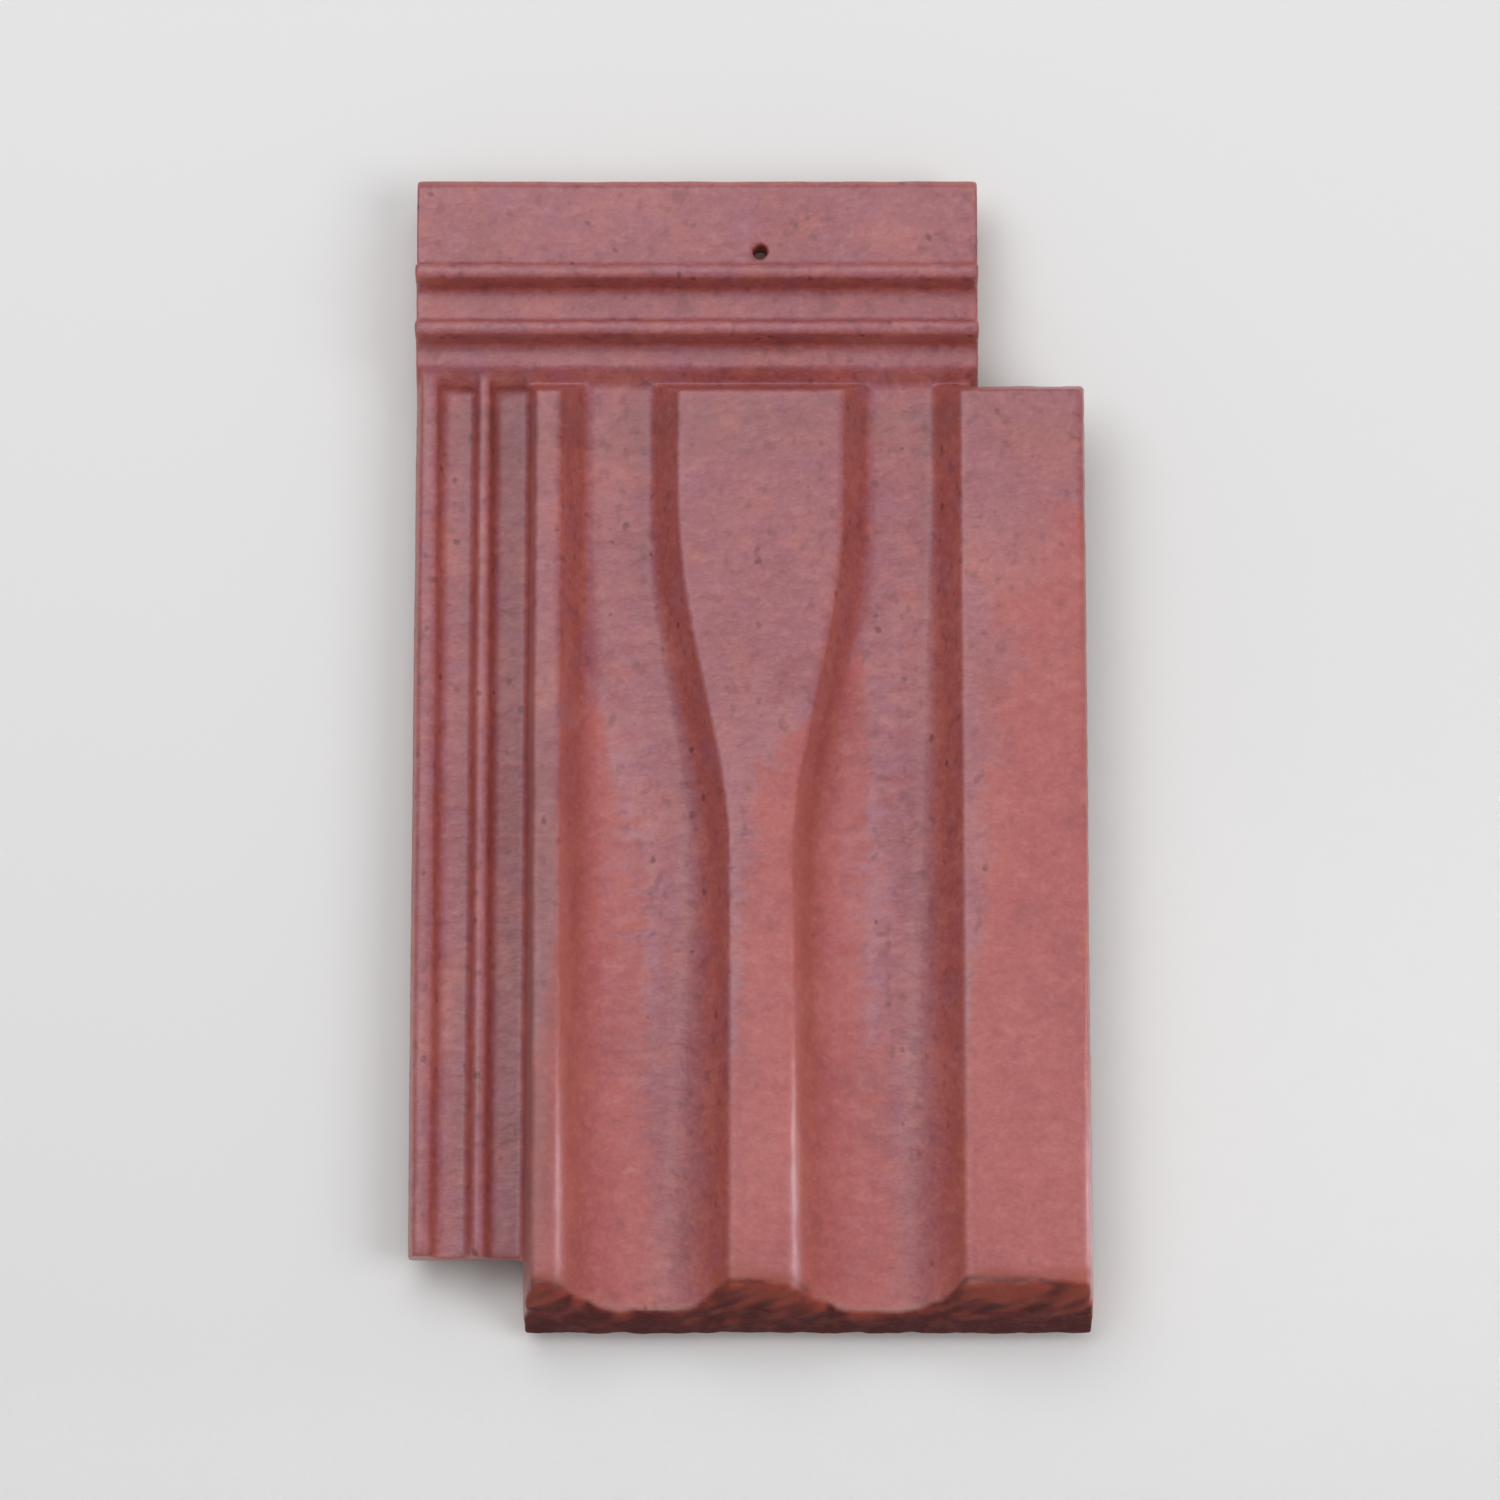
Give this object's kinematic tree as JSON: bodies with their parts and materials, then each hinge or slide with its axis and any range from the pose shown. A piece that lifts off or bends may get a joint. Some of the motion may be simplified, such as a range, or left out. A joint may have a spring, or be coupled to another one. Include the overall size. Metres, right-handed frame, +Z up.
{
  "type": "interlocking clay roof tile",
  "caption": "Red clay roof tile with two troughs, a middle rib that narrows to the foot, a side lock and a head lock.",
  "frame": {"origin": "middle of the tile's box, on the plane that the foot rib and the lug tips rest on", "axes": "+X across the tile to the cover flap, +Y up the slope from foot to head, +Z up out of the laid face"},
  "size_m": [0.2426, 0.42, 0.038],
  "materials": {
    "engobed_clay": "satin"
  },
  "bodies": {
    "root": {"roof_tile": "engobed_clay"}
  },
  "joints": []
}
